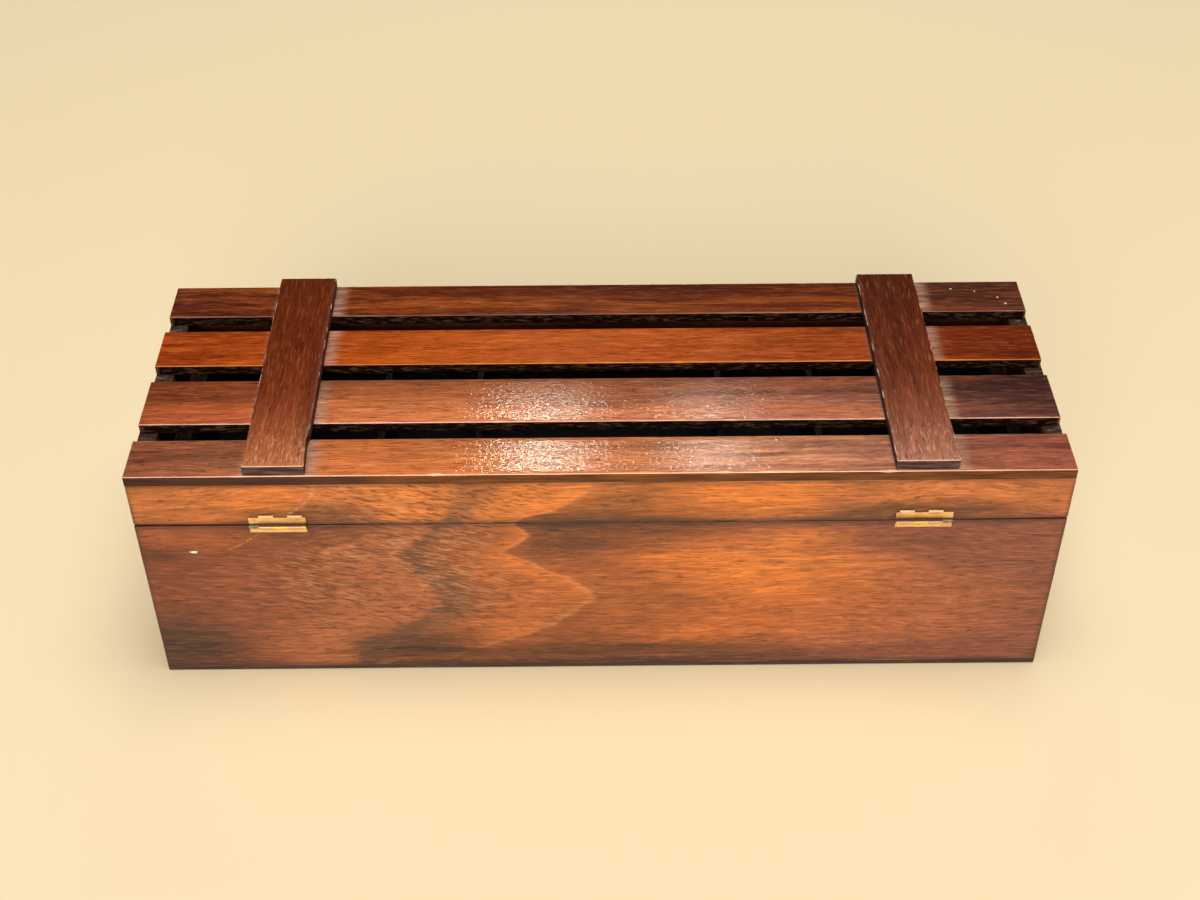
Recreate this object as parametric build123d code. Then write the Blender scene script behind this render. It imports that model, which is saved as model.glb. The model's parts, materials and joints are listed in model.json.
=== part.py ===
from build123d import *
import math
import os

# A wooden poker chip case with a slatted, hinged lid. Millimetres, +Z up.
# X runs along the length, the hinges are at +Y and the catch is at -Y.
# The origin is the middle of the underside, on the surface that the case stands on.

# Outer case
LENGTH = 401.2
DEPTH = 135.6
WALL = 8.0  # thickness of every outer board
BOTTOM = 3.2  # thin panel planted under the walls
SEAM_Z = 91.7  # where the box was sawn into lid and base
SEAM_GAP = 0.4  # daylight at the middle of the seam
SEAM_RISE_RIGHT = 1.2  # the lid's lower edges are bowed, so the seam opens towards the ends
SEAM_RISE_LEFT = 0.8
FRAME_TOP_Z = 115.0  # top edges of the lid's boards
CORNER_R = 0.8
WORN_EDGE = 0.5
SEAM_EDGE_R = 0.4  # outer edges along the seam

# Lid slats: near and far edges as distances from the hinge face, and how far each stops short
# of the left and right ends
SLAT_T = 5.0
SLATS = {
    "slat_back": (0.0, 23.6, 0.2, 0.0),
    "slat_mid_back": (34.2, 64.1, 0.5, 0.3),
    "slat_mid_front": (75.1, 100.8, 0.7, 0.0),
    "slat_front": (112.0, DEPTH, 0.6, 0.0),
}

# Cross battens: width, distance from the hinge face, and the middle of the hinge end and the
# front end, as distances from the middle of the case. They were nailed on slightly askew.
BATTEN_T = 5.0
BATTENS = {"right": (26.2, 0.6, 137.1, 137.5), "left": (26.7, 1.0, 137.25, 136.0)}
DENT_DEPTH = 1.0  # a shallow dip sanded into the right batten's inner edge
DENT_FROM, DENT_DEEPEST = 24.0, 18.0  # distances from its hinge end

# Hinges, measured along their length from the outer end
AXIS_UP = 0.7  # hinge axis above the seam
HINGE_OUTER_X = 150.8
HINGE_LENGTH = 24.4
LID_KNUCKLES = [(4.5, 10.8), (16.85, 23.15)]
BASE_KNUCKLES = [(10.9, 16.75), (23.25, HINGE_LENGTH)]
KNUCKLE_R = 1.3
PIN_R = 0.75
PIN_CLEARANCE = 0.06
AXIS_PROUD = 1.45  # hinge axis beyond the back face
LEAF_T = 0.75  # plate let into the seam
LEAF_DEEP = 6.5
FLANGE_T = 0.65  # strip that lies on the back face
FLANGE_FROM, BASE_FLANGE_TO, LID_FLANGE_TO = 1.2, 4.0, 4.4  # distances from the axis height
TAB_FROM, TAB_TO, TAB_T = 4.65, 5.7, 0.85  # bright lips above the lid's strip
WEB_T = 0.25  # sunken metal between a strip and its knuckles
NECK_TO = 0.9  # thicker metal behind a knuckle
HINGE_SCREWS_AT = (6.0, 18.4)
SCREW_R, SCREW_HEAD_R, SCREW_LENGTH = 0.8, 1.6, 9.0

# Catch on the front: a brass hook that hangs from its screw, and a stud on the lid
CATCH_PIVOT_Z = 80.0
CATCH_REACH = 23.0  # pivot to stud
CATCH_SHAFT_R = 1.4
WASHER_R, WASHER_T = 3.4, 0.8
HOOK_T, HOOK_W, HOOK_SLOT_W = 1.2, 7.0, 3.8
HOOK_TAIL = 5.5  # hook beyond the stud
CATCH_HEAD_R, CATCH_HEAD_T = 2.8, 1.3
SIDE_PLAY = 0.1

# Inside
FELT_T = 1.0
TRAY_BASE_Z = 46.0
TRAY_H = 42.0
TRAY_PLAY = 0.5  # all round, so that the tray lifts out
TRAY_WALL = 5.0
TRAY_FLOOR = 3.0
PARTITION = 3.0
CHIP_ROW = 41.0
ROWS_EACH_SIDE = 3
NOTCH_R = 11.0
REST_W, REST_H = 6.0, 10.0
DIVIDER_X, DIVIDER_T = 62.0, 4.0
NAIL_R, NAIL_HEAD_R, NAIL_LENGTH = 0.7, 1.1, 13.0

half_x = LENGTH / 2
half_y = DEPTH / 2
inner_x = half_x - WALL
inner_y = half_y - WALL
base_top = SEAM_Z - SEAM_GAP / 2
lid_low = SEAM_Z + SEAM_GAP / 2
slat_top = FRAME_TOP_Z + SLAT_T
axis_y = half_y + AXIS_PROUD
axis_z = SEAM_Z + AXIS_UP


def block(low, high):
    """A square-cut piece between two corners."""
    size = [h - l for l, h in zip(low, high)]
    middle = [(h + l) / 2 for l, h in zip(low, high)]
    return Pos(*middle) * Box(*size)


def rod(start, direction, radius, length):
    """A round rod from start, along direction."""
    return extrude(Plane(start, z_dir=direction) * Circle(radius), length)


def edges_at(shape, axis, x=None, y=None, z=None):
    """The straight edges along axis whose middles lie at the given coordinates."""
    def matches(edge):
        middle = edge.center()
        wanted = ((x, middle.X), (y, middle.Y), (z, middle.Z))
        return all(w is None or abs(abs(m) - abs(w)) < 0.01 for w, m in wanted)
    return [edge for edge in shape.edges().filter_by(axis) if matches(edge)]


# ---- outer boards ----

def base_long_board(side):
    """A full-length wall of the base: side is +1 at the hinges, -1 at the front."""
    y_out, y_in = side * half_y, side * inner_y
    low = (-half_x, min(y_out, y_in), BOTTOM)
    board = block(low, (half_x, max(y_out, y_in), base_top))
    board = fillet(edges_at(board, Axis.Z, y=half_y), CORNER_R)
    return fillet(edges_at(board, Axis.X, y=half_y, z=base_top), SEAM_EDGE_R)


def lid_long_board(side):
    """A full-length board of the lid, with its bowed lower edge."""
    right = (half_x, lid_low + SEAM_RISE_RIGHT)
    left = (-half_x, lid_low + SEAM_RISE_LEFT)
    bow = ThreePointArc(left, (0, lid_low), right)
    sides = Polyline(right, (half_x, FRAME_TOP_Z), (-half_x, FRAME_TOP_Z), left)
    outline = Plane.XZ * make_face([bow, sides])
    board = Pos(0, side * (half_y - WALL / 2), 0) * extrude(outline, WALL / 2, both=True)
    return fillet(edges_at(board, Axis.Z, y=half_y), CORNER_R)


def end_board(side, low_z, high_z):
    """A short wall, held between the two long boards."""
    x_out, x_in = side * half_x, side * inner_x
    return block((min(x_out, x_in), -inner_y, low_z), (max(x_out, x_in), inner_y, high_z))


def bottom_panel():
    panel = extrude(RectangleRounded(LENGTH, DEPTH, CORNER_R), BOTTOM)
    return chamfer(panel.edges().group_by(Axis.Z)[0], WORN_EDGE)


def slat(near, far, short_left, short_right):
    """A lid slat, from its near and far edges and how far it stops short of each end."""
    length = LENGTH - short_left - short_right
    middle = ((short_left - short_right) / 2, half_y - (near + far) / 2, FRAME_TOP_Z)
    outline = Pos(*middle) * RectangleRounded(length, far - near, CORNER_R)
    board = extrude(outline, SLAT_T)
    return fillet(board.edges().group_by(Axis.Z)[-1], WORN_EDGE)


def batten(word):
    """A cross batten on the slats, drawn for the right end and mirrored for the left."""
    width, setback, x_hinge, x_front = BATTENS[word]
    hinge_end, front_end = half_y - setback, -half_y
    half = width / 2
    inner_edge = [(x_hinge - half, hinge_end), (x_front - half, front_end)]
    if word == "right":
        share = [1 - d / (hinge_end - front_end) for d in (DENT_FROM, DENT_DEEPEST)]
        start, deepest = [x_front - half + (x_hinge - x_front) * s for s in share]
        dip = [(deepest + DENT_DEPTH, hinge_end - DENT_DEEPEST), (start, hinge_end - DENT_FROM)]
        inner_edge[1:1] = dip
    corners = [(x_front + half, front_end), (x_hinge + half, hinge_end), *inner_edge]
    outline = make_face(Polyline(*corners, close=True))
    outline = fillet(outline.vertices(), CORNER_R)
    board = extrude(Pos(0, 0, slat_top) * outline, BATTEN_T)
    board = fillet(board.edges().group_by(Axis.Z)[-1], WORN_EDGE)
    return board if word == "right" else mirror(board, about=Plane.YZ)


def bottom_nails():
    """Brads through the bottom panel into the walls, heads flush with the underside."""
    long_side = [(x, y * (half_y - WALL / 2)) for x in (-180, -108, -36, 36, 108, 180) for y in (-1, 1)]
    short_side = [(x * (half_x - WALL / 2), y) for x in (-1, 1) for y in (-25, 25)]
    nails = []
    for x, y in long_side + short_side:
        head = Pos(x, y, 0) * extrude(Circle(NAIL_HEAD_R), 0.6)
        nails.append(head + Pos(x, y, 0) * extrude(Circle(NAIL_R), NAIL_LENGTH))
    return nails


# ---- hinges: built for the right end, mirrored for the left ----

def hinge_span(span, low, high):
    """A block over a stretch of the hinge, low and high being (y, height above the axis)."""
    start, end = span
    x_low, x_high = HINGE_OUTER_X - end, HINGE_OUTER_X - start
    return block((x_low, low[0], axis_z + low[1]), (x_high, high[0], axis_z + high[1]))


def knuckle(span, bore):
    start = (HINGE_OUTER_X - span[1], axis_y, axis_z)
    length = span[1] - span[0]
    return rod(start, (1, 0, 0), KNUCKLE_R, length) - rod(start, (1, 0, 0), bore, length)


def leaf_plate(up, clear=SEAM_GAP / 2):
    """A leaf's plate, let into a board's seam edge. up is +1 on the lid."""
    heights = sorted((up * clear - AXIS_UP, up * (SEAM_GAP / 2 + LEAF_T) - AXIS_UP))
    return hinge_span((0, HINGE_LENGTH), (half_y - LEAF_DEEP, heights[0]), (half_y, heights[1]))


def leaf_mortise(up):
    return leaf_plate(up, 0.0)


def hinge_leaf(knuckles, bore, up):
    """One leaf: a plate in the seam, a strip on the back face and its knuckles. up is +1 on the lid."""
    def on_face(span, thickness, from_axis, to_axis):
        heights = sorted((from_axis, to_axis))
        return hinge_span(span, (half_y, heights[0]), (half_y + thickness, heights[1]))
    root = up * SEAM_GAP / 2 - AXIS_UP
    strip_end = LID_FLANGE_TO if up > 0 else -BASE_FLANGE_TO
    web_end = TAB_TO if up > 0 else strip_end
    neck_end = NECK_TO if up > 0 else root - NECK_TO
    leaf = leaf_plate(up) + on_face((0, HINGE_LENGTH), FLANGE_T, up * FLANGE_FROM, strip_end)
    for span in knuckles:
        leaf += on_face(span, WEB_T, root, web_end)
        leaf += on_face(span, FLANGE_T, root, neck_end)
        if up > 0:
            leaf += on_face(span, TAB_T, TAB_FROM, TAB_TO)
        start = (HINGE_OUTER_X - span[1], axis_y, axis_z)
        leaf -= rod(start, (1, 0, 0), bore, span[1] - span[0])
        leaf += knuckle(span, bore)
    return leaf


def hinge_screws(up):
    """Two countersunk screws from the seam into the board's edge."""
    screws = []
    for u in HINGE_SCREWS_AT:
        foot = Pos(HINGE_OUTER_X - u, half_y - LEAF_DEEP / 2, SEAM_Z + up * SEAM_GAP / 2)
        turn = Rot(0, 0, 0) if up > 0 else Rot(180, 0, 0)
        head = extrude(Circle(SCREW_HEAD_R), LEAF_T, taper=math.degrees(math.atan(0.8 / LEAF_T)))
        shank = extrude(Circle(SCREW_R), SCREW_LENGTH)
        slot = Box(2 * SCREW_HEAD_R, 0.4, 0.5)
        screws.append(foot * turn * (head + shank - slot))
    return screws


def hinge_pin():
    return rod((HINGE_OUTER_X - HINGE_LENGTH, axis_y, axis_z), (1, 0, 0), PIN_R, HINGE_LENGTH)


# ---- catch ----

def dome_head(y_inner, z):
    """A low domed screw head that stands out of the front, towards -Y."""
    head = rod((0, y_inner, z), (0, -1, 0), CATCH_HEAD_R, CATCH_HEAD_T)
    head = fillet(head.edges().sort_by(Axis.Y)[0], CATCH_HEAD_T * 0.7)
    slot = Pos(0, y_inner - CATCH_HEAD_T, z) * Box(2 * CATCH_HEAD_R, 0.8, 0.7)
    return head - slot


def catch_screw(z):
    """A round-headed wood screw with room for the hook under its head."""
    under_head = -half_y - WASHER_T - HOOK_T - 2 * SIDE_PLAY
    shaft = rod((0, under_head, z), (0, 1, 0), CATCH_SHAFT_R, 6.0 - under_head - half_y)
    return shaft + dome_head(under_head, z)


def washer(z):
    start = (0, -half_y, z)
    ring = rod(start, (0, -1, 0), WASHER_R, WASHER_T)
    ring = chamfer(ring.edges().sort_by(Axis.Y)[0], 0.3)
    return ring - rod(start, (0, -1, 0), CATCH_SHAFT_R, WASHER_T)


def catch_hook():
    """The hook as it hangs: a flat strip with a side slot that takes the stud once it is turned up."""
    eye = Circle(HOOK_W / 2)
    strip = Pos(0, -CATCH_REACH / 2) * Rectangle(HOOK_W * 0.8, CATCH_REACH)
    tip = Pos(0, -CATCH_REACH) * Circle(HOOK_W / 2 + 0.6)
    tail = Pos(0, -CATCH_REACH - HOOK_TAIL / 2) * Rectangle(HOOK_W * 0.5, HOOK_TAIL)
    knob = Pos(0, -CATCH_REACH - HOOK_TAIL) * Circle(2.4)
    outline = eye + strip + tip + tail + knob
    slot = Pos(-HOOK_W / 2, -CATCH_REACH) * Rectangle(HOOK_W, HOOK_SLOT_W)
    slot += Pos(0, -CATCH_REACH) * Circle(HOOK_SLOT_W / 2)
    outline -= slot + Circle(CATCH_SHAFT_R + 0.05)
    plane = Plane((0, -half_y - WASHER_T - SIDE_PLAY, CATCH_PIVOT_Z), x_dir=(1, 0, 0), z_dir=(0, -1, 0))
    return extrude(plane * outline, HOOK_T)


# ---- inside ----

def tray_parts():
    """The lift-out tray: floor, rails, ends, partitions and felt, by node name."""
    tray_x, tray_y = inner_x - TRAY_PLAY, inner_y - TRAY_PLAY
    floor_top, tray_top = TRAY_BASE_Z + TRAY_FLOOR, TRAY_BASE_Z + TRAY_H
    well_x, well_y = tray_x - TRAY_WALL, tray_y - TRAY_WALL
    made = {"tray_floor": block((-tray_x, -tray_y, TRAY_BASE_Z), (tray_x, tray_y, floor_top))}
    made["tray_front_rail"] = block((-tray_x, -tray_y, floor_top), (tray_x, -well_y, tray_top))
    made["tray_back_rail"] = block((-tray_x, well_y, floor_top), (tray_x, tray_y, tray_top))
    made["tray_left_end"] = block((-tray_x, -well_y, floor_top), (-well_x, well_y, tray_top))
    made["tray_right_end"] = block((well_x, -well_y, floor_top), (tray_x, well_y, tray_top))
    for name in ("tray_front_rail", "tray_back_rail"):
        top_edges = edges_at(made[name], Axis.X, z=tray_top)
        made[name] = fillet(top_edges, WORN_EDGE)

    felt = []
    pitch = CHIP_ROW + PARTITION
    for side, word in ((-1, "left"), (1, "right")):
        for row in range(ROWS_EACH_SIDE):
            row_out = well_x - row * pitch
            wall_out = row_out - CHIP_ROW
            wall_in = wall_out - PARTITION
            xs = sorted((side * wall_out, side * wall_in))
            wall = block((xs[0], -well_y, floor_top), (xs[1], well_y, tray_top - 2))
            wall = fillet(edges_at(wall, Axis.Y, z=tray_top - 2), WORN_EDGE)
            if row == ROWS_EACH_SIDE - 1:
                wall -= rod((xs[0] - 1, 0, tray_top - 2), (1, 0, 0), NOTCH_R, PARTITION + 2)
            made[f"tray_partition_{word}_{row + 1}"] = wall
            xs = sorted((side * row_out, side * wall_out))
            felt.append(block((xs[0], -well_y, floor_top), (xs[1], well_y, floor_top + FELT_T)))
    card_x = well_x - ROWS_EACH_SIDE * pitch
    felt.append(block((-card_x, -well_y, floor_top), (card_x, well_y, floor_top + FELT_T)))
    made["tray_felt"] = felt
    return made


def lower_parts():
    """What is under the tray: felt, two dividers and the two strips that the tray's ends rest on."""
    made = {}
    half_divider = DIVIDER_T / 2
    bays = [
        (-inner_x, -DIVIDER_X - half_divider),
        (-DIVIDER_X + half_divider, DIVIDER_X - half_divider),
        (DIVIDER_X + half_divider, inner_x),
    ]
    felt_top = BOTTOM + FELT_T
    made["bottom_felt"] = [block((a, -inner_y, BOTTOM), (b, inner_y, felt_top)) for a, b in bays]
    for side, word in ((-1, "left"), (1, "right")):
        x = side * DIVIDER_X
        made[f"lower_divider_{word}"] = block(
            (x - half_divider, -inner_y, BOTTOM), (x + half_divider, inner_y, TRAY_BASE_Z)
        )
        xs = sorted((side * inner_x, side * (inner_x - REST_W)))
        made[f"tray_rest_{word}"] = block(
            (xs[0], -inner_y, TRAY_BASE_Z - REST_H), (xs[1], inner_y, TRAY_BASE_Z)
        )
    return made


# ---- the whole case, node by node ----

def without(shape, tools):
    """shape with its holes and mortises cut."""
    for tool in tools:
        shape = shape - tool
    return shape


def both_ends(make, *values):
    """A hinge piece and its mirror image, as (word, shapes)."""
    made = make(*values)
    shapes = made if isinstance(made, list) else [made]
    return {"right": shapes, "left": [mirror(s, about=Plane.YZ) for s in shapes]}


nodes = {}
nails = bottom_nails()
lid_screws, base_screws = both_ends(hinge_screws, 1), both_ends(hinge_screws, -1)
lid_mortises, base_mortises = both_ends(leaf_mortise, 1), both_ends(leaf_mortise, -1)
lid_leaves = both_ends(hinge_leaf, LID_KNUCKLES, PIN_R + PIN_CLEARANCE, 1)
base_leaves = both_ends(hinge_leaf, BASE_KNUCKLES, PIN_R, -1)
pins = both_ends(hinge_pin)
catch_z = {"pivot": CATCH_PIVOT_Z, "stud": CATCH_PIVOT_Z + CATCH_REACH}

nodes["base_bottom_panel"] = without(bottom_panel(), nails)
nodes["base_nails"] = nails
for side, word in ((1, "right"), (-1, "left")):
    nodes[f"base_{word}_end"] = without(end_board(side, BOTTOM, base_top), nails)
    rise = SEAM_RISE_RIGHT if side > 0 else SEAM_RISE_LEFT
    nodes[f"lid_{word}_end"] = end_board(side, lid_low + rise, FRAME_TOP_Z)
    nodes[f"batten_{word}"] = batten(word)
    nodes[f"hinge_{word}_lid_leaf"] = without(lid_leaves[word][0], lid_screws[word])
    nodes[f"hinge_{word}_base_leaf"] = without(base_leaves[word][0], base_screws[word])
    nodes[f"hinge_{word}_pin"] = pins[word]
    nodes[f"hinge_{word}_lid_screws"] = lid_screws[word]
    nodes[f"hinge_{word}_base_screws"] = base_screws[word]

base_cuts = nails + base_mortises["right"] + base_mortises["left"]
base_cuts += base_screws["right"] + base_screws["left"]
lid_cuts = lid_mortises["right"] + lid_mortises["left"] + lid_screws["right"] + lid_screws["left"]
nodes["base_back_board"] = without(base_long_board(1), base_cuts)
nodes["base_front_board"] = without(base_long_board(-1), nails + [catch_screw(catch_z["pivot"])])
nodes["lid_back_board"] = without(lid_long_board(1), lid_cuts)
nodes["lid_front_board"] = without(lid_long_board(-1), [catch_screw(catch_z["stud"])])
for name, measures in SLATS.items():
    nodes[name] = slat(*measures)

for part, z in catch_z.items():
    nodes[f"catch_{part}_screw"] = catch_screw(z)
    nodes[f"catch_{part}_washer"] = washer(z)
nodes["catch_hook"] = catch_hook()
nodes.update(lower_parts())
nodes.update(tray_parts())

os.makedirs("parts", exist_ok=True)
for name, shape in nodes.items():
    solids = shape if isinstance(shape, list) else [shape]
    whole = solids[0] if len(solids) == 1 else Compound(children=solids)
    export_step(whole, f"parts/{name}.step")
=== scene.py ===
import json
import math
from collections import namedtuple

import bmesh
import bpy
from mathutils import Matrix, Vector, noise


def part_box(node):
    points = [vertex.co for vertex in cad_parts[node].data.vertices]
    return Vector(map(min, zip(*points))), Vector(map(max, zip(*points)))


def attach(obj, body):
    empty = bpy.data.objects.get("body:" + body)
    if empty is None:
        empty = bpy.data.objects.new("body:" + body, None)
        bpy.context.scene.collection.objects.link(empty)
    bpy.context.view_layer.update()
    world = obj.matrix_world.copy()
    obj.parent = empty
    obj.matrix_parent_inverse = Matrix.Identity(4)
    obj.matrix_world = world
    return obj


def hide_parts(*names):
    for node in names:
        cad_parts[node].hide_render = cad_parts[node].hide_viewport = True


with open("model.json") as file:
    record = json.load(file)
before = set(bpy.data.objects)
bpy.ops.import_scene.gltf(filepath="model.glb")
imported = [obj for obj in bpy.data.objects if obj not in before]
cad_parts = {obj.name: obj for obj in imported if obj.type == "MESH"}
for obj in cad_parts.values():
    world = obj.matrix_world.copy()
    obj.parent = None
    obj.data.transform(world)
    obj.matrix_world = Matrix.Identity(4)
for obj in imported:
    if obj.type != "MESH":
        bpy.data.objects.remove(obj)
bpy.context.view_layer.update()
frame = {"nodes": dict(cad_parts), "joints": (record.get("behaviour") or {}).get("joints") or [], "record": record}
nodes = frame["nodes"]

# The camera and the lights are placed in metres. Materials and worn boards are worked out in mm.
MM = 0.001
BODY_OF = {n: body for body, names in frame["record"]["behaviour"]["bodies"].items() for n in names}
HALF_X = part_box("slat_back")[1].x / MM
BACK_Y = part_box("base_back_board")[1].y / MM
SEAM_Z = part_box("base_back_board")[1].z / MM
AXIS_Z = frame["joints"][0]["pos_m"][2] / MM
BATTEN_X = (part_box("batten_right")[0].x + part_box("batten_right")[1].x) / 2 / MM


# ---- camera, floor and light ----

LENS_MM = 52.2
CAMERA_PLACE = (0.0035, 0.6114, 0.6055)
CAMERA_YAW, CAMERA_PITCH, CAMERA_ROLL = 180 - 0.33, 40.99, 0.26
FLOOR_COLOUR = (0.79, 0.65, 0.42)
WORLD_COLOUR, WORLD_STRENGTH = (1.0, 0.95, 0.88), 0.07
WINDOW_COLOUR = (0.86, 1.0, 0.84)
# Each light has its place, the point it faces, its width and height, its power in watts and its colour.
LIGHTS = {
    "window": ((0.066, -1.095, 1.14), (0.03, 0.04, 0.12), (0.12, 0.07), 0.85, WINDOW_COLOUR),
    "second_window": ((-0.144, -1.05, 1.12), (-0.04, 0.06, 0.12), (0.10, 0.03), 0.42, WINDOW_COLOUR),
    "overhead": ((-0.2, 0.2, 3.6), (0, 0, 0.05), (2.8, 2.4), 126, (1.0, 0.98, 0.94)),
    "front_fill": ((0.5, 3.6, 1.9), (0, 0.06, 0.05), (2.4, 1.6), 112, (1.0, 0.96, 0.88)),
}


def aim(location, yaw, pitch, roll):
    """A camera pose: yaw from looking along +Y, pitch below the horizon, roll, all in degrees."""
    turn = Matrix.Rotation(math.radians(yaw), 4, "Z") @ Matrix.Rotation(math.radians(-pitch), 4, "X")
    turn = turn @ Matrix.Rotation(math.radians(roll), 4, "Y") @ Matrix.Rotation(math.radians(90), 4, "X")
    return Matrix.Translation(Vector(location)) @ turn


def make_camera():
    """Stands 0.8 m off on the hinge side and looks down at the lid."""
    data = bpy.data.cameras.new("camera")
    data.lens = LENS_MM
    camera = bpy.data.objects.new("camera", data)
    camera.matrix_world = aim(CAMERA_PLACE, CAMERA_YAW, CAMERA_PITCH, CAMERA_ROLL)
    bpy.context.scene.collection.objects.link(camera)
    bpy.context.scene.camera = camera


def area_light(name, location, target, size, energy, colour):
    data = bpy.data.lights.new(name, "AREA")
    data.shape = "RECTANGLE"
    data.size, data.size_y = size
    data.energy = energy
    data.color = colour
    light = bpy.data.objects.new(name, data)
    light.location = location
    direction = Vector(target) - Vector(location)
    light.rotation_euler = direction.to_track_quat("-Z", "Y").to_euler()
    bpy.context.scene.collection.objects.link(light)


def make_floor():
    mesh = bpy.data.meshes.new("floor")
    shape = bmesh.new()
    bmesh.ops.create_grid(shape, x_segments=1, y_segments=1, size=20.0)
    shape.to_mesh(mesh)
    shape.free()
    floor = bpy.data.objects.new("floor", mesh)
    bpy.context.scene.collection.objects.link(floor)
    material = bpy.data.materials.new("floor_pale")
    material.use_nodes = True
    shader = material.node_tree.nodes["Principled BSDF"]
    shader.inputs["Base Color"].default_value = (*FLOOR_COLOUR, 1)
    shader.inputs["Roughness"].default_value = 0.7
    mesh.materials.append(material)


def make_light():
    world = bpy.data.worlds.new("studio")
    world.use_nodes = True
    background = world.node_tree.nodes["Background"]
    background.inputs["Color"].default_value = (*WORLD_COLOUR, 1)
    background.inputs["Strength"].default_value = WORLD_STRENGTH
    bpy.context.scene.world = world
    for name, values in LIGHTS.items():
        area_light(name, *values)
    bpy.context.scene.view_settings.view_transform = "Standard"


# ---- material graphs ----

class Graph:
    """A material's node tree, with short calls that add a node and return its output."""

    def __init__(self, name):
        self.material = bpy.data.materials.new(name)
        self.material.use_nodes = True
        self.tree = self.material.node_tree
        self.shader = self.tree.nodes["Principled BSDF"]
        coordinates = self.tree.nodes.new("ShaderNodeTexCoord")
        self.normal = coordinates.outputs["Normal"]
        scaled = self.tree.nodes.new("ShaderNodeVectorMath")
        scaled.operation = "SCALE"
        self.tree.links.new(coordinates.outputs["Object"], scaled.inputs[0])
        scaled.inputs["Scale"].default_value = 1 / MM
        self.place = scaled.outputs[0]
        self.x, self.y, self.z = self.split(self.place)

    def put(self, socket, value):
        if isinstance(value, bpy.types.NodeSocket):
            self.tree.links.new(value, socket)
        else:
            socket.default_value = value

    def split(self, vector):
        node = self.tree.nodes.new("ShaderNodeSeparateXYZ")
        self.put(node.inputs[0], vector)
        return node.outputs[0], node.outputs[1], node.outputs[2]

    def join(self, x, y, z):
        node = self.tree.nodes.new("ShaderNodeCombineXYZ")
        for socket, value in zip(node.inputs, (x, y, z)):
            self.put(socket, value)
        return node.outputs[0]

    def moved(self, vector, offset):
        node = self.tree.nodes.new("ShaderNodeVectorMath")
        node.operation = "ADD"
        self.put(node.inputs[0], vector)
        self.put(node.inputs[1], offset)
        return node.outputs[0]

    def math(self, operation, *values, clamp=False):
        node = self.tree.nodes.new("ShaderNodeMath")
        node.operation = operation
        node.use_clamp = clamp
        for socket, value in zip(node.inputs, values):
            self.put(socket, value)
        return node.outputs[0]

    def less(self, a, b):
        return self.math("SUBTRACT", a, b)

    def apart(self, a, b):
        return self.math("ABSOLUTE", self.less(a, b))

    def most(self, a, b):
        return self.math("MAXIMUM", a, b)

    def times(self, *values):
        result = values[0]
        for value in values[1:]:
            result = self.math("MULTIPLY", result, value)
        return result

    def line(self, value, slope, start, clamp=False):
        """value * slope + start."""
        return self.math("MULTIPLY_ADD", value, slope, start, clamp=clamp)

    def fade(self, value, start, end):
        """0 at start, 1 at end, smooth between."""
        node = self.tree.nodes.new("ShaderNodeMapRange")
        node.interpolation_type = "SMOOTHSTEP"
        self.put(node.inputs["Value"], value)
        rising = start < end
        node.inputs["From Min"].default_value = start if rising else end
        node.inputs["From Max"].default_value = end if rising else start
        node.inputs["To Min"].default_value = 0.0 if rising else 1.0
        node.inputs["To Max"].default_value = 1.0 if rising else 0.0
        return node.outputs["Result"]

    def noise(self, vector, lengths, detail, shift, twist=0.0):
        """Noise with features about lengths mm long along X, Y and Z."""
        mapping = self.tree.nodes.new("ShaderNodeMapping")
        self.put(mapping.inputs["Vector"], vector)
        mapping.inputs["Scale"].default_value = [1 / length for length in lengths]
        mapping.inputs["Location"].default_value = (shift, shift * 0.7, shift * 1.3)
        node = self.tree.nodes.new("ShaderNodeTexNoise")
        self.put(node.inputs["Vector"], mapping.outputs[0])
        node.inputs["Scale"].default_value = 1.0
        node.inputs["Detail"].default_value = detail
        node.inputs["Distortion"].default_value = twist
        return node.outputs["Fac"]

    def mix(self, share, a, b, blend="MIX"):
        node = self.tree.nodes.new("ShaderNodeMix")
        node.data_type = "RGBA"
        node.blend_type = blend
        self.put(node.inputs[0], share)
        for socket, value in ((node.inputs[6], a), (node.inputs[7], b)):
            self.put(socket, value if isinstance(value, bpy.types.NodeSocket) else (*value, 1))
        return node.outputs[2]

    def tinted(self, colour, shade):
        """colour times a grey shade."""
        return self.mix(1.0, colour, self.join(shade, shade, shade), "MULTIPLY")

    def ramp(self, value, stops):
        """A colour ramp. Stops are (place from 0 to 1, colour): a few blend widely, many keep apart."""
        node = self.tree.nodes.new("ShaderNodeValToRGB")
        node.color_ramp.interpolation = "B_SPLINE" if len(stops) < 6 else "EASE"
        elements = node.color_ramp.elements
        while len(elements) < len(stops):
            elements.new(0.5)
        for element, (place, colour) in zip(elements, stops):
            element.position = place
            element.color = (*colour, 1)
        self.put(node.inputs[0], value)
        return node.outputs[0]

    def spot(self, a, b, centre, radii, soft):
        """1 inside an ellipse on two coordinates, fading to 0 outside it."""
        da = self.math("DIVIDE", self.less(a, centre[0]), radii[0])
        db = self.math("DIVIDE", self.less(b, centre[1]), radii[1])
        square = self.math("ADD", self.times(da, da), self.times(db, db))
        return self.fade(self.math("SQRT", square), 1 + soft, 1 - soft)

    def patches(self, a, b, rows, soft=0.7):
        """The strongest of several spots. Rows are (centre, radii, strength)."""
        result = 0.0
        for centre, radii, strength in rows:
            result = self.most(result, self.times(self.spot(a, b, centre, radii, soft), strength))
        return result

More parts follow.
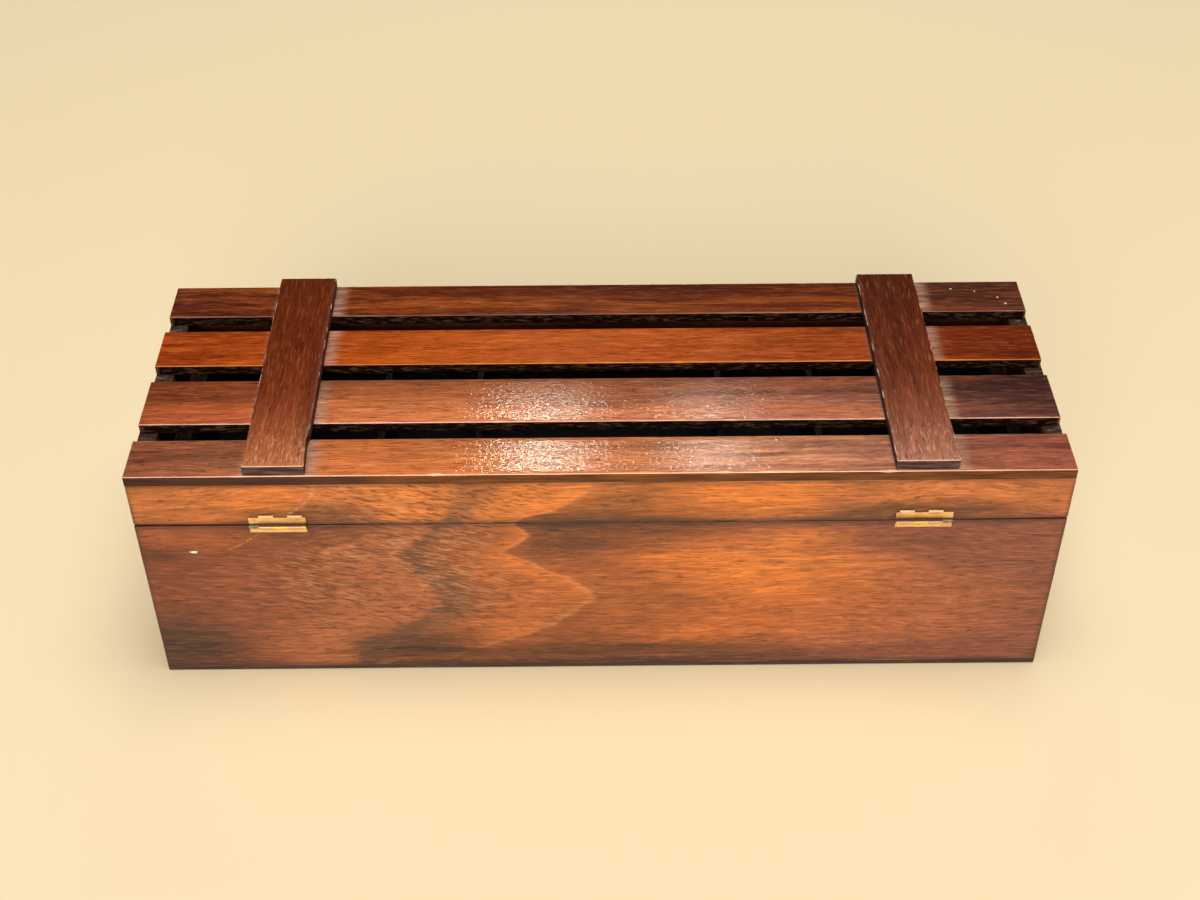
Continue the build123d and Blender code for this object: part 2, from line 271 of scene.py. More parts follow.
    def edge_distance(self, node_name):
        """Distance in mm to the nearest edge of a square-cut piece, on its surface."""
        gaps = []
        for value, low, high in zip((self.x, self.y, self.z), *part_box(node_name)):
            gaps.append(self.math("MINIMUM", self.apart(value, low / MM), self.apart(high / MM, value)))
        nearer = self.math("MINIMUM", gaps[0], gaps[1])
        farther = self.most(gaps[0], gaps[1])
        return self.most(nearer, self.math("MINIMUM", farther, gaps[2]))

    def bump(self, height, distance_mm):
        node = self.tree.nodes.new("ShaderNodeBump")
        node.inputs["Strength"].default_value = 1.0
        node.inputs["Distance"].default_value = distance_mm * MM
        self.put(node.inputs["Height"], height)
        self.put(self.shader.inputs["Normal"], node.outputs[0])

    def finish(self, colour, roughness, **constants):
        self.put(self.shader.inputs["Base Color"], colour)
        self.put(self.shader.inputs["Roughness"], roughness)
        for name, value in constants.items():
            self.shader.inputs[name.replace("_", " ")].default_value = value
        return self.material


def srgb(red, green, blue):
    """A colour given as 0 to 255 screen values, as the linear one that shaders take."""
    def linear(value):
        value /= 255
        return value / 12.92 if value <= 0.04045 else ((value + 0.055) / 1.055) ** 2.4
    return linear(red), linear(green), linear(blue)


def tones(*stops):
    """Colour stops for a ramp, given as (place from 0 to 1, red, green, blue)."""
    return [(place, srgb(*colour)) for place, *colour in stops]


# ---- wood ----

TAN_FIBRE = srgb(214, 158, 104)
WORN_PALE = srgb(190, 140, 110)


class Wood:
    """What every board has: fibres, streaks, pores and tone bands along one axis."""

    def __init__(self, name, along, seed, sway=5.0):
        g = self.graph = Graph(name)
        self.along = "xyz".index(along)
        self.seed = seed
        drift = g.noise(g.place, self.lengths(75, 40), 1.0, seed + 0.5)
        drift = g.times(g.less(drift, 0.5), sway)
        offset = [drift, drift, drift]
        offset[self.along] = 0.0
        self.place = g.moved(g.place, g.join(*offset))
        self.fibres = self.grain(9, 0.8, 2, 1)
        self.streaks = self.grain(24, 1.7, 2, 2)
        self.broad = self.grain(70, 4.0, 2, 3)
        self.bands = self.grain(170, 10, 1, 4)
        self.pores = g.fade(self.grain(5.5, 0.7, 1, 5), 0.74, 0.95)
        self.blotch = self.grain(38, 24, 2, 6)

    def lengths(self, length, width):
        sizes = [width, width, width]
        sizes[self.along] = length
        return sizes

    def grain(self, length, width, detail, shift):
        """Stretched noise from 0 to 1."""
        g = self.graph
        raw = g.noise(self.place, self.lengths(length, width), detail, self.seed * 7.3 + shift * 3.1)
        return g.line(raw, 2.2, -0.6, clamp=True)

    def figured(self, colour, fibre=0.45, streak=0.4):
        """colour with the grain's light and dark strokes."""
        g = self.graph
        fibre_shade = g.line(self.fibres, fibre, 1 - fibre / 2)
        streak_shade = g.line(self.streaks, streak, 1 - streak / 2)
        shade = g.times(fibre_shade, streak_shade, g.line(self.pores, -0.5, 1.0))
        tan = g.times(g.fade(self.fibres, 0.6, 1.0), 0.1)
        return g.mix(tan, g.tinted(colour, shade), TAN_FIBRE)

    def banded(self, colour, dark, light=None):
        """colour with dark bands along the grain, and light ones where their colour is given."""
        g = self.graph
        tone = g.line(self.bands, 0.5, g.times(self.broad, 0.5))
        colour = g.mix(g.times(g.fade(tone, 0.5, 0.15), 0.45), colour, dark)
        if light:
            colour = g.mix(g.times(g.fade(tone, 0.5, 0.85), 0.25), colour, light)
        return colour

    def gloss(self, low, high):
        """Roughness that streaks along the grain."""
        g = self.graph
        streak = g.line(self.streaks, 0.55, g.times(self.broad, 0.45))
        return g.line(streak, high - low, low)

    def relief(self, distance_mm):
        g = self.graph
        height = g.line(self.streaks, 0.8, g.times(self.fibres, 0.5))
        g.bump(g.less(height, g.times(self.pores, 0.7)), distance_mm)


# ---- the hinge side's figure ----
# Here and in the slats, along is the distance in mm from the case's +X end.
# Heights are in mm above the floor.

# A ring's number is about how far its upper arch reaches along the board, in mm.
# The stops are shares of the board's length.
CASE_RINGS = tones(
    (0.00, 98, 46, 26), (0.07, 122, 60, 32), (0.19, 138, 72, 42), (0.31, 164, 93, 55), (0.37, 170, 96, 50),
    (0.42, 170, 92, 43), (0.486, 190, 104, 46), (0.490, 206, 126, 70), (0.495, 160, 86, 40),
    (0.56, 152, 80, 36), (0.66, 182, 96, 40), (0.74, 172, 92, 44), (0.83, 160, 88, 54), (1.00, 132, 72, 52),
)
INNER_RING = 136.0
OUTER_RING = 195.0
RING_WANDER = 9.0

# Soft ellipses: ((along, height), (radii), strength).
CASE_SHADOWS = [
    ((120, 11), (32, 14), 0.95),
    ((82, 96), (20, 7), 0.7),
    ((335, 96), (52, 6), 0.8),
    ((310, 108), (20, 12), 0.25),
    ((322, 80), (26, 6), 0.3),
    ((186, 22), (16, 24), 0.35),
    ((151, 84), (13, 9), 0.35),
    ((64, 96), (17, 4), 0.55),
    ((338, 97), (17, 4), 0.7),
    ((4, 12), (38, 24), 0.95),
    ((399, 30), (26, 70), 0.1),
    ((212, 7), (84, 12), 0.8),
    ((61, 90), (14, 6), 0.4),
]
ARCH_SHADOWS = [
    ((205, 91), (58, 11), 0.85),
    ((196, 83), (38, 11), 0.75),
    ((212, 100), (26, 12), 0.55),
]
CASE_GLOWS = [
    ((275, 68), (48, 18), 1.0),
    ((262, 104), (28, 11), 1.0),
    ((156, 107), (22, 8), 1.0),
    ((116, 105), (14, 8), 1.0),
    ((58, 106), (14, 7), 1.0),
]
WARM_PATCH = [((24, 86), (26, 6), 0.5)]
SCUFFS = [((99, 4.2), (3.4, 0.5), 1.0), ((129, 3.8), (4, 0.5), 1.0)]
CHIP_CENTRE, CHIP_RADII, CHIP_TILT = (23.3, 74.3), (1.7, 0.6), 0.12
FLECK_TILT = 0.26
# Stretches along the seam where the lid's lower edge gets painted shadow, as of a gap: (middle, reach to each
# side).
SEAM_GAP_SHADOWS = [(127, 3), (161, 8), (254, 6)]


def ring_place(wood, along):
    """A point's ring number, and its height as the rings wander."""
    g = wood.graph
    wander = g.noise(g.place, (38, 38, 14), 2, 4.0)
    height = g.line(wander, RING_WANDER, g.less(g.z, RING_WANDER / 2))

    def arch(tip, centre, fall, rise):
        """How far a ring reaches: its tip is at height centre, and it falls back below and above."""
        away = g.less(height, centre)
        above = g.times(g.math("POWER", g.most(away, 0.0), 1.5), rise)
        below = g.times(g.math("POWER", g.most(g.times(away, -1), 0.0), 1.5), fall)
        return g.less(tip, g.math("ADD", above, below))

    inner = g.math("SMOOTH_MAX", arch(139, 112, 0.12, 0.12), arch(127, 45, 0.30, 0.12), 4.0)
    inner = g.math("SMOOTH_MAX", inner, 88, 8.0)
    outer = g.math("SMOOTH_MAX", arch(195, 112, 0.36, 0.36), arch(195, 46, 0.27, 0.27), 5.0)
    outer = g.math("SMOOTH_MAX", outer, arch(167, SEAM_Z - 8, 0.4, 0.25), 3.0)
    share = g.math("DIVIDE", g.less(along, inner), g.less(outer, inner))
    ragged = wood.grain(7, 0.8, 3, 9)
    share = g.line(ragged, 0.06, g.less(share, 0.03))
    return g.line(share, OUTER_RING - INNER_RING, INNER_RING), height


def smudge(wood, ring):
    """The grey-brown band inside the arches, sharp towards +X and fading towards -X."""
    g = wood.graph
    band = g.times(g.fade(ring, 134, 140), g.fade(ring, 168, 143))
    return g.math("MULTIPLY", band, g.line(wood.streaks, 0.9, 0.35), clamp=True)


def ring_colours(wood, along, ring, height):
    """The rings, lighter on the lid, with glows, the smudge and dark patches over them."""
    g = wood.graph
    colour = g.ramp(g.math("DIVIDE", ring, 2 * HALF_X), CASE_RINGS)
    lid_share = g.fade(g.z, SEAM_Z - 1, SEAM_Z + 6)
    colour = g.mix(g.times(lid_share, 0.5), colour, srgb(226, 130, 56))
    glow = g.times(g.patches(along, g.z, CASE_GLOWS), g.line(wood.broad, 0.5, 0.25))
    colour = g.mix(glow, colour, srgb(224, 126, 44))
    smudged = g.times(smudge(wood, ring), g.line(lid_share, -0.1, 0.85))
    colour = g.mix(smudged, colour, srgb(94, 62, 48))
    beyond_arches = g.fade(ring, OUTER_RING - 1, OUTER_RING + 6)
    shadow = g.most(g.patches(along, height, CASE_SHADOWS),
                    g.times(g.patches(along, g.z, ARCH_SHADOWS), beyond_arches))
    shadow = g.math("MULTIPLY", shadow, g.line(wood.broad, 0.6, 0.6), clamp=True)
    colour = g.mix(shadow, colour, srgb(58, 34, 24))
    colour = g.mix(g.patches(along, height, WARM_PATCH), colour, srgb(182, 94, 44))
    return g.tinted(colour, g.line(wood.broad, 0.24, 0.9))


def flecked(wood, colour, ring):
    """colour with short dark and light strokes, tilted against the grain, in the middle of the arches."""
    g = wood.graph
    level = g.line(g.x, -FLECK_TILT, g.z)
    strokes = g.noise(g.join(g.x, g.y, level), (5.0, 1.0, 1.0), 2, 31.0)
    region = g.times(g.fade(ring, 50, 95), g.fade(ring, 194, 160), g.fade(g.z, 5, 45))
    dark = g.times(g.fade(strokes, 0.54, 0.66), region)
    patchy = g.times(g.fade(wood.blotch, 0.2, 0.7), g.fade(g.z, 10, 75))
    light = g.times(g.fade(strokes, 0.46, 0.34), region, patchy)
    colour = g.mix(g.times(dark, 0.65), colour, srgb(70, 40, 26))
    return g.mix(g.times(light, 0.55), colour, srgb(206, 150, 104))


def thin_ring(wood, along, height):
    """1 on a thin pale growth ring that bends across the seam near the +X hinge."""
    g = wood.graph
    below = g.most(g.times(g.less(112, height), 1 / 34), 0.0)
    reach = g.line(g.math("POWER", below, 1.6), -42, 80)
    ragged = g.line(wood.fibres, 2.4, along)
    line = g.times(g.fade(g.apart(ragged, reach), 1.1, 0.2), g.fade(g.z, 72, 84))
    broken = g.fade(g.noise(g.place, (4, 4, 3), 2, 17), 0.4, 0.6)
    return g.times(line, g.line(broken, 0.5, 0.08))


def seam_gap_shadow(wood, along):
    """1 in the short stretches along the seam where the lid's lower edge gets painted shadow, as of a gap."""
    g = wood.graph
    gap = 0.0
    for middle, reach in SEAM_GAP_SHADOWS:
        gap = g.most(gap, g.fade(g.apart(along, middle), reach, reach - 2))
    return g.times(gap, g.fade(g.z, SEAM_Z + 1.3, SEAM_Z + 0.8))


def handled(wood, colour, along, edge):
    """colour with scuffs along the foot, darkened and worn edges, and one chip in the finish."""
    g = wood.graph
    ragged = g.line(g.noise(g.place, (1.1, 1.1, 1.1), 1, 3), 1.6, g.z)
    scuffs = g.patches(along, ragged, SCUFFS, 0.6)
    colour = g.mix(g.times(scuffs, 0.6), colour, srgb(160, 150, 158))
    colour = g.mix(g.times(g.fade(edge, 2.6, 0.4), 0.5), colour, srgb(52, 30, 22))
    worn = g.times(g.fade(edge, 0.6, 0.1), g.fade(wood.broad, 0.5, 0.8))
    worn = g.times(worn, g.fade(g.z, 4, 12), g.fade(g.apart(g.z, SEAM_Z), 0, 5))
    colour = g.mix(g.times(worn, 0.5), colour, WORN_PALE)
    tilted = g.line(along, -CHIP_TILT, ragged)
    chip = g.spot(along, tilted, CHIP_CENTRE, CHIP_RADII, 0.35)
    return g.mix(chip, colour, srgb(240, 226, 205))


def back_board_wood(name, node_name):
    """The hinge side: flat-sawn figure whose arches run across the seam."""
    wood = Wood(name, "x", 1, 9.0)
    g = wood.graph
    along = g.less(HALF_X, g.x)
    ring, height = ring_place(wood, along)
    colour = ring_colours(wood, along, ring, height)
    colour = wood.figured(colour, 0.66, 0.46)
    colour = g.mix(thin_ring(wood, along, height), colour, srgb(232, 168, 116))
    colour = flecked(wood, colour, ring)
    colour = handled(wood, colour, along, g.edge_distance(node_name))
    if node_name.startswith("lid"):
        # Painted shadow of a gap along the seam, near-black on the lid's lower edge.
        colour = g.mix(g.times(seam_gap_shadow(wood, along), 0.92), colour, srgb(24, 12, 9))
    wood.relief(0.04)
    return g.finish(colour, wood.gloss(0.42, 0.6))


# ---- plain boards ----

RED_BROWN = (srgb(84, 36, 20), srgb(118, 56, 30), srgb(148, 76, 40))
# Near-black stain for the inside, made this dark also as painted shade seen through the gaps between the slats.
INNER_STAIN_AND_SHADE = (srgb(14, 8, 6), srgb(20, 12, 9), srgb(28, 17, 12))
UNDERSIDE = (srgb(44, 26, 20), srgb(66, 40, 28), srgb(86, 54, 38))


def board_wood(name, node_name, along, seed, stain, rough=0.42, wear=0.5, dusty_top=False, specular=0.5):
    """A plain stained board: stain is its dark, middle and light colours."""
    wood = Wood(name, along, seed)
    g = wood.graph
    tone = g.line(wood.bands, 0.6, g.times(wood.blotch, 0.4))
    colour = g.ramp(tone, list(zip((0.1, 0.5, 0.9), stain)))
    colour = wood.figured(colour)
    edge = g.edge_distance(node_name)
    colour = g.mix(g.times(g.fade(edge, 3.0, 0.3), 0.35), colour, srgb(46, 24, 18))
    worn = g.times(g.fade(edge, 0.6, 0.1), g.fade(wood.broad, 0.45, 0.75))
    colour = g.mix(g.times(worn, wear), colour, WORN_PALE)
    if dusty_top:
        top = g.fade(g.split(g.normal)[2], 0.4, 0.8)
        colour = g.mix(top, colour, sawn_colour(wood, srgb(52, 36, 27), srgb(132, 104, 84)))
    wood.relief(0.03)
    return g.finish(colour, wood.gloss(rough, rough + 0.2), Specular_IOR_Level=specular)


def sawn_colour(wood, dark=srgb(22, 12, 8), pale=srgb(112, 78, 58)):
    """Bare sawn wood under the lid's slats: dark, with pale dust in the saw marks."""
    g = wood.graph
    dust = g.fade(g.noise(g.place, (4, 1.4, 0.7), 3, wood.seed), 0.48, 0.72)
    return g.mix(g.times(dust, 0.55), dark, pale)


# ---- slats and battens ----

# A slat's look: the roughness and specular of its top, how much lighter the top gets towards the hinges and
# darker away from them, as painted sheen and shade (lift), the share of the specular that its front edge lacks
# (dull), the colour of its worn edge, which also holds a painted highlight, and its tones from +X to -X, whose
# greyer pink stops towards -X on the two back slats also hold painted sheen.
Slat = namedtuple("Slat", "roughness specular lift dull edge tones")
SLATS = {
    "slat_front": Slat(0.24, 0.04, 0.1, 0.0, srgb(150, 104, 88), tones(
        (0.0, 82, 33, 20), (0.12, 80, 30, 16), (0.3, 92, 36, 12), (0.6, 80, 31, 13),
        (0.8, 88, 37, 18), (0.87, 76, 39, 28), (1.0, 76, 39, 29))),
    "slat_mid_front": Slat(0.22, 0.05, 0.1, 0.0, srgb(224, 130, 50), tones(
        (0.0, 132, 48, 12), (0.2, 158, 68, 18), (0.35, 164, 73, 18), (0.55, 154, 68, 21),
        (0.8, 138, 60, 24), (0.87, 115, 43, 14), (1.0, 102, 37, 13))),
    "slat_mid_back": Slat(0.05, 0.5, 0.8, 0.85, srgb(226, 168, 144), tones(
        (0.0, 136, 66, 38), (0.13, 146, 73, 42), (0.25, 172, 98, 58), (0.5, 160, 92, 60),
        (0.7, 146, 90, 70), (0.83, 132, 80, 62), (0.88, 84, 50, 44), (1.0, 72, 42, 38))),
    "slat_back": Slat(0.05, 0.5, 0.3, 0.2, srgb(246, 190, 152), tones(
        (0.0, 130, 72, 50), (0.12, 142, 84, 58), (0.24, 190, 106, 58), (0.5, 186, 108, 64),
        (0.7, 192, 126, 94), (0.83, 164, 106, 82), (0.9, 142, 82, 64), (1.0, 136, 74, 58))),
}
# Pale specks on the front slat: (along, y, radius).
SPECKS = [(368, -62, 0.5), (379, -60, 0.4), (389, -55, 0.45), (392, -50, 0.55)]
# Tones of the battens' tops, from the front end to the hinge end.
BATTENS = {
    "batten_left": (srgb(78, 30, 12), srgb(98, 42, 20), srgb(130, 72, 50), srgb(160, 104, 84)),
    "batten_right": (srgb(90, 33, 10), srgb(98, 37, 10), srgb(132, 62, 32), srgb(170, 100, 64)),
}


def side_share(g, normal):
    """0 on a top face, 1 on the sides and the underside."""
    return g.fade(normal[2], 0.55, 0.2)


def rounded_top_edge(g, normal):
    """1 on a rounded edge between the top and a side."""
    return g.times(g.fade(normal[2], 0.2, 0.4), g.fade(normal[2], 0.99, 0.93))


def batten_haze(g, centre):
    """Glue haze beside a batten: wide towards -X, thin towards +X."""
    away = g.less(g.x, centre)
    wide = g.times(g.fade(away, -21, -14), g.fade(away, 0, -13))
    thin = g.times(g.fade(away, 16.5, 13), g.fade(away, 0, 13))
    return g.most(wide, g.times(thin, 0.6))


def slat_top(wood, along, across, look, specks):
    """The stained top: tones along its length, glue haze beside the battens, and specks."""
    g = wood.graph
    colour = g.ramp(g.math("DIVIDE", along, 2 * HALF_X), look.tones)
    colour = wood.banded(colour, srgb(62, 26, 16), srgb(200, 104, 40))
    haze = g.most(batten_haze(g, BATTEN_X), batten_haze(g, -BATTEN_X))
    haze = g.times(haze, g.line(wood.streaks, 0.6, 0.4))
    colour = g.mix(g.times(haze, 0.8), colour, srgb(168, 132, 112))
    # Painted sheen towards the hinge side of the top, painted shade towards the front side.
    colour = g.tinted(colour, g.line(across, look.lift, 1 - look.lift / 2))
    colour = wood.figured(colour, 0.6, 0.55)
    for speck_along, y, radius in specks:
        speck = g.spot(along, g.y, (speck_along, y), (radius, radius * 0.7), 0.3)
        colour = g.mix(speck, colour, srgb(236, 214, 196))
    return colour


def slat_side(wood, along, normal):
    """The other faces: stained on the outside of the case, bare and dusty in the gaps, where their near-black is
    also painted shade, plain underneath.
    """
    g = wood.graph
    outside = g.most(g.fade(g.math("ABSOLUTE", g.y), BACK_Y - 2.0, BACK_Y - 0.6),
                     g.fade(g.math("ABSOLUTE", g.x), HALF_X - 2.0, HALF_X - 1.0))
    dust = g.times(g.line(wood.broad, 0.8, 0.1), 0.5)
    dust = g.line(wood.streaks, 0.7, dust, clamp=True)
    face = g.mix(dust, srgb(52, 32, 28), srgb(134, 84, 50))
    face = g.mix(g.times(g.fade(along, 120, 70), 0.75), face, srgb(58, 42, 44))
    # In the gaps the bare wood's near-black is partly painted shade.
    face = g.mix(outside, sawn_colour(wood), face)
    return g.mix(g.fade(normal[2], -0.6, -0.9), face, wood.figured(srgb(50, 27, 18)))


def slat_wood(name, node_name, seed, look, specks=()):
    """A lid slat: stained top with painted sheen and shade across it, dark sides and worn top edges with a painted
    highlight, under a lacquer with a fine peel.
    """
    wood = Wood(name, "x", seed)
    g = wood.graph
    normal = g.split(g.normal)
    along = g.less(HALF_X, g.x)
    low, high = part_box(node_name)
    across = g.fade(g.y, low.y / MM, high.y / MM)
    side = side_share(g, normal)
    colour = g.mix(side, slat_top(wood, along, across, look, specks), slat_side(wood, along, normal))
    # A pale line on the rounded top edges that face the hinge side: worn finish and painted highlight.
    ridge = g.times(rounded_top_edge(g, normal), g.fade(normal[1], -0.7, 0.25))
    ridge = g.times(ridge, g.line(wood.grain(40, 3, 2, 11), 0.7, 0.35))
    colour = g.mix(ridge, colour, look.edge)
    peel = wood.grain(2.0, 0.9, 1, 14)
    g.bump(g.line(wood.fibres, 0.3, peel), 0.04)
    shine = g.line(across, look.dull * look.specular, look.specular * (1 - look.dull))
    g.put(g.shader.inputs["Specular IOR Level"], g.times(g.less(1, side), shine))
    roughness = g.line(wood.streaks, 0.05, look.roughness)
    return g.finish(colour, g.line(side, 0.5, roughness, clamp=True))


def batten_wood(name, seed, stain):
    """A cross batten: stain is the colours from its front end to its hinge end."""
    wood = Wood(name, "y", seed)
    g = wood.graph
    share = g.line(g.y, 0.5 / BACK_Y, 0.5)
    colour = g.ramp(share, list(zip((0.1, 0.55, 0.8, 0.97), stain)))
    colour = wood.banded(colour, srgb(60, 24, 14))
    colour = wood.figured(colour, 0.45, 0.3)
    scuffs = g.times(g.fade(wood.grain(4, 0.8, 2, 15), 0.62, 0.85), g.fade(share, 0.7, 0.95))
    colour = g.mix(g.times(scuffs, 0.35), colour, srgb(222, 172, 136))
    normal = g.split(g.normal)
    side = side_share(g, normal)
    dust = g.fade(g.noise(g.place, (16, 16, 1.6), 2, 13), 0.4, 0.7)
    colour = g.mix(side, colour, g.mix(dust, srgb(60, 40, 38), srgb(108, 80, 78)))
    # A pale rounded top edge: chips in the finish, and a painted highlight all along the hinge end.
    hinge_end = g.fade(g.y, BACK_Y - 4, BACK_Y - 2)
    chipped = g.most(g.fade(wood.grain(6, 1.5, 3, 12), 0.5, 0.85), g.times(hinge_end, 0.7))
    ridge = g.times(rounded_top_edge(g, normal), chipped)
    colour = g.mix(g.times(ridge, 0.9), colour, srgb(226, 188, 166))
    brushed = wood.grain(2.6, 0.75, 2, 14)
    g.bump(g.line(brushed, 1.0, g.times(wood.streaks, 0.6)), 0.01)
    roughness = g.math("ADD", wood.gloss(0.2, 0.32), g.times(side, 0.4), clamp=True)
    return g.finish(colour, roughness, Specular_IOR_Level=0.12)


# ---- felt and metal ----

LIP_Z = AXIS_Z + 4


def felt_material():
    g = Graph("black_felt")
    fuzz = g.noise(g.place, (0.5, 0.5, 0.5), 4, 3)
    lint = g.fade(g.noise(g.place, (3.0, 0.4, 0.4), 2, 8, 1.0), 0.7, 0.8)
    blacks = [(0.2, (0.004, 0.003, 0.003)), (0.5, (0.008, 0.007, 0.006)), (0.8, (0.016, 0.014, 0.013))]
    colour = g.mix(g.times(lint, 0.2), g.ramp(fuzz, blacks), (0.2, 0.2, 0.2))
    g.bump(fuzz, 0.35)
    return g.finish(colour, 0.95, Sheen_Weight=0.08, Sheen_Roughness=0.5, Specular_IOR_Level=0.1)


def brass_material(name, barrel):
    """Worn brass with painted shade in the recesses and on the barrel's upper side, a painted highlight on the
    proud parts above the barrel, and the knuckles' rubbed colour given as barrel.
    """
    g = Graph(name)
    wear = g.noise(g.place, (3.5, 1.2, 1.2), 3, 2)
    colour = g.ramp(wear, tones((0.3, 226, 164, 98), (0.5, 252, 200, 124), (0.75, 255, 224, 162)))
    proud = g.less(g.y, BACK_Y)
    # A painted highlight on the proud parts above the barrel.
    lip_highlight = g.times(g.fade(proud, 0.7, 0.8), g.fade(g.z, LIP_Z, LIP_Z + 0.5))
    colour = g.mix(g.times(lip_highlight, 0.8), colour, srgb(255, 236, 206))
    # Painted shade on the barrel's upper side.
    on_barrel = g.times(g.fade(proud, 0.7, 0.9), g.fade(g.z, AXIS_Z + 3, AXIS_Z + 2))
    shaded = g.mix(g.fade(g.z, AXIS_Z + 0.55, AXIS_Z + 0.95), barrel, srgb(70, 46, 30))
    colour = g.mix(on_barrel, colour, shaded)
    # Painted shade in the recesses close to the back.
    recess_shade = g.times(g.fade(proud, 0.5, 0.35), g.fade(proud, -0.5, 0.0))
    colour = g.mix(g.times(recess_shade, 0.85), colour, srgb(66, 42, 24))
    grime = g.fade(g.noise(g.place, (1.4, 1.0, 1.0), 3, 5), 0.56, 0.72)
    colour = g.mix(g.times(grime, 0.35), colour, srgb(110, 72, 40))
    g.bump(g.noise(g.place, (3.0, 0.2, 0.2), 2, 6), 0.01)
    return g.finish(colour, g.line(wear, 0.3, 0.3), Metallic=0.8)


def steel_material():
    g = Graph("dull_steel")
    wear = g.noise(g.place, (1.5, 1.5, 1.5), 4, 2)
    colour = g.ramp(wear, tones((0.3, 84, 82, 76), (0.5, 118, 116, 106), (0.75, 150, 146, 134)))
    g.bump(g.noise(g.place, (0.2, 3, 3), 2, 4), 0.02)
    return g.finish(colour, g.line(wear, 0.3, 0.4), Metallic=1.0)


# ---- worn slats and battens ----

GRID_STEP = 2.2
SLAT_ROUNDING, BATTEN_ROUNDING = 0.45, 0.5
CHIP_SPACING = 3.5
CHIP_DEPTH = 0.35
LEAST_ROUNDING = 0.3


def stations(low, high, radius, step):
    """Places along one side of a piece: close together where its edge is rounded."""
    rounded = [low + radius * share for share in (0, 0.25, 0.55, 1.0)]
    count = max(1, round((high - low - 2 * radius) / step))
    flat = [low + radius + (high - low - 2 * radius) * i / count for i in range(1, count)]
    return rounded + flat + [low + high - place for place in reversed(rounded)]


def graded_box(low, high, radius, step):
    """The surface of a box, cut into a grid that is finer where its edges will be rounded."""
    sides = [stations(a, b, radius, step) for a, b in zip(low, high)]
    shape = bmesh.new()
    for axis in range(3):
        u, v = [i for i in range(3) if i != axis]
        for end in (0, -1):
            rows = []
            for pu in sides[u]:
                row = []
                for pv in sides[v]:
                    point = [0.0, 0.0, 0.0]
                    point[axis], point[u], point[v] = sides[axis][end], pu, pv
                    row.append(shape.verts.new(point))
                rows.append(row)
            for first, second in zip(rows, rows[1:]):
                for a, b, c, d in zip(first, first[1:], second[1:], second):
                    shape.faces.new((a, b, c, d))
    bmesh.ops.remove_doubles(shape, verts=shape.verts, dist=1e-5)
    bmesh.ops.recalc_face_normals(shape, faces=shape.faces)
    return shape


def worn_point(point, low, high, radius, seed):
    """Where a point of a square box lies once its edges are rounded and chipped."""
    core = Vector([min(max(p, a + radius), b - radius) for p, a, b in zip(point, low, high)])
    out = point - core
    if out.length == 0:
        return point
    along_edge = sum(abs(value) > 0.2 * radius for value in out) >= 2
    chip = noise.noise((point + Vector((0, seed * 17, 0))) / CHIP_SPACING) - 0.3
    dent = CHIP_DEPTH * max(0.0, chip) if along_edge else 0.0
    return core + out.normalized() * max(radius - dent, LEAST_ROUNDING * radius)


def worn_board(node_name, radius, material, seed, skew=None):
    """Stands for a CAD board: the same box with rounded, slightly uneven and chipped edges."""
    low, high = [[value / MM for value in corner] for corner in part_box(node_name)]
    if skew:
        low, high = skew.square(low, high)
    shape = graded_box(low, high, radius, GRID_STEP)
    for vertex in shape.verts:
        point = worn_point(vertex.co.copy(), low, high, radius, seed)
        if skew:
            point.x += skew.shift(point, low, high)
        vertex.co = point * MM
    mesh = bpy.data.meshes.new(node_name + "_worn")
    shape.to_mesh(mesh)
    shape.free()
    mesh.shade_smooth()
    mesh.materials.append(material)
    piece = bpy.data.objects.new(node_name + "_worn", mesh)
    bpy.context.scene.collection.objects.link(piece)
    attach(piece, BODY_OF[node_name])
    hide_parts(node_name)


class Skew:
    """How a batten lies askew: the sideways run from its front end to its hinge end, and the depth of
    a shallow dip in its -X edge, which starts 24 mm from the hinge end and is deepest at 18 mm."""

    DIP_START = 24
    DIP_DEEPEST = 18

    def __init__(self, run, dip=0.0):
        self.run = run
        self.dip = dip

    def square(self, low, high):
        """The corners of the straight piece, from those of the askew one."""
        spare = abs(self.run) / 2
        return [low[0] + spare, *low[1:]], [high[0] - spare, *high[1:]]

    def shift(self, point, low, high):
        share = (point.y - low[1]) / (high[1] - low[1]) - 0.5
        from_end = high[1] - point.y
        fall = min(max((self.DIP_START - from_end) / (self.DIP_START - self.DIP_DEEPEST), 0), 1)
        rise = min(max(from_end / self.DIP_DEEPEST, 0), 1)
        across = (high[0] - point.x) / (high[0] - low[0])
        return self.run * share + self.dip * fall * rise * across ** 3


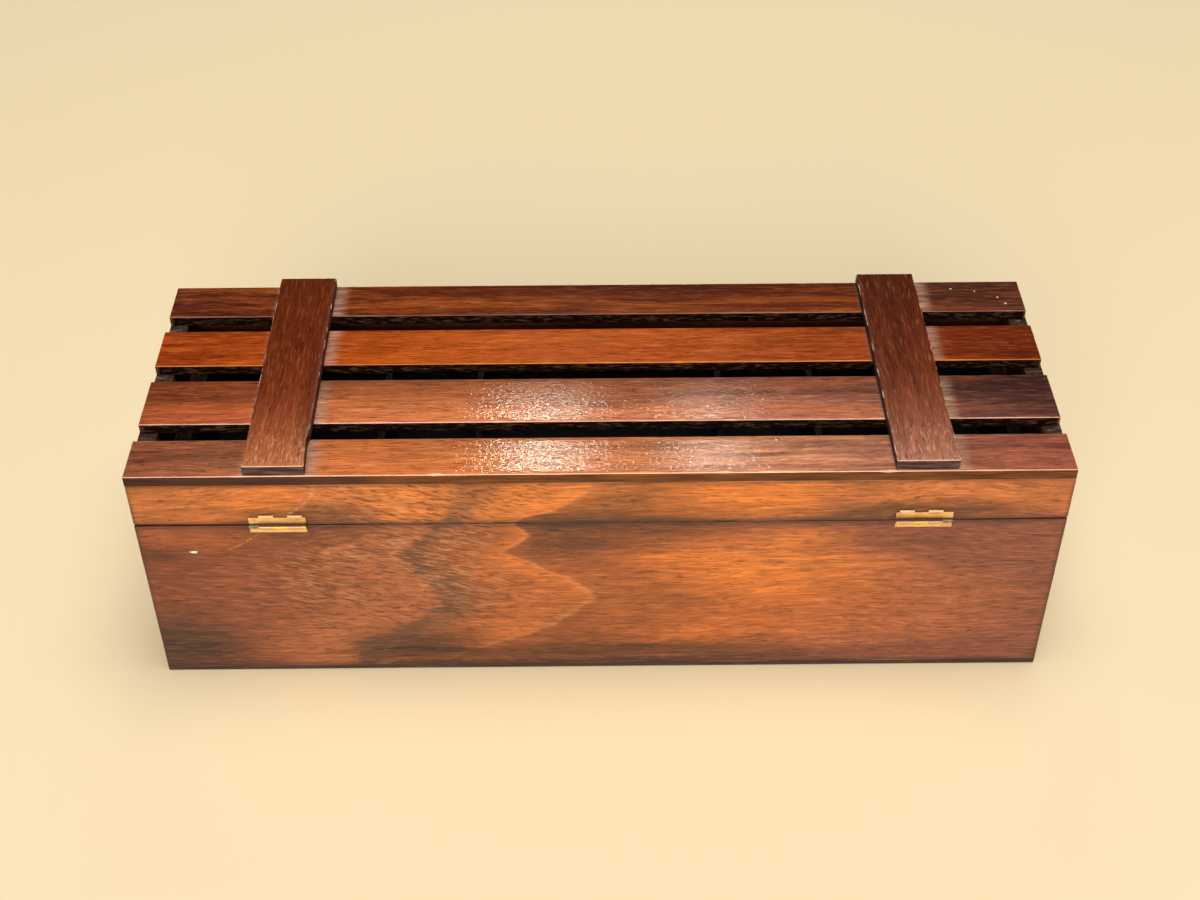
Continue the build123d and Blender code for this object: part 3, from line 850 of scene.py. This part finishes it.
SKEWS = {"batten_left": Skew(-1.25), "batten_right": Skew(-0.4, 1.0)}


# ---- dressing the case ----

def dress(node_name, material):
    data = nodes[node_name].data
    data.materials.clear()
    data.materials.append(material)


def dress_walls():
    dress("base_back_board", back_board_wood("back_wood_base", "base_back_board"))
    dress("lid_back_board", back_board_wood("back_wood_lid", "lid_back_board"))
    boards = {"front_board": ("x", 21), "left_end": ("y", 31), "right_end": ("y", 37)}
    for side, (along, seed) in boards.items():
        base, lid = "base_" + side, "lid_" + side
        dress(base, board_wood(base + "_wood", base, along, seed, RED_BROWN, specular=0.3))
        dress(lid, board_wood(lid + "_wood", lid, along, seed, RED_BROWN, dusty_top=True, specular=0.2))
    dress("base_bottom_panel", board_wood("bottom_wood", "base_bottom_panel", "x", 41, UNDERSIDE, 0.5))


def dress_lid():
    for seed, (name, look) in enumerate(SLATS.items(), start=3):
        specks = SPECKS if name == "slat_front" else ()
        material = slat_wood(name + "_wood", name, seed, look, specks)
        worn_board(name, SLAT_ROUNDING, material, seed)
    for seed, (name, stain) in enumerate(BATTENS.items(), start=8):
        material = batten_wood(name + "_wood", seed, stain)
        worn_board(name, BATTEN_ROUNDING, material, seed, SKEWS[name])


def dress_inside_and_metal():
    felt, steel = felt_material(), steel_material()
    brass = brass_material("worn_brass", srgb(222, 176, 146))
    bright_brass = brass_material("rubbed_brass", srgb(246, 200, 104))
    for seed, name in enumerate(sorted(nodes)):
        if name.endswith("_felt"):
            dress(name, felt)
        elif name.endswith("_pin") or name == "base_nails":
            dress(name, steel)
        elif name.endswith("_base_leaf"):
            dress(name, bright_brass)
        elif name.startswith(("hinge_", "catch_")):
            dress(name, brass)
        elif name.startswith(("tray_", "lower_")):
            low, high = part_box(name)
            along = "x" if high.x - low.x > high.y - low.y else "y"
            # The inside's near-black stain doubles as painted shade seen through the slats' gaps.
            dress(name, board_wood(name + "_wood", name, along, seed, INNER_STAIN_AND_SHADE, 0.6, 0.1, specular=0.15))


make_camera()
make_floor()
make_light()
dress_walls()
dress_lid()
dress_inside_and_metal()
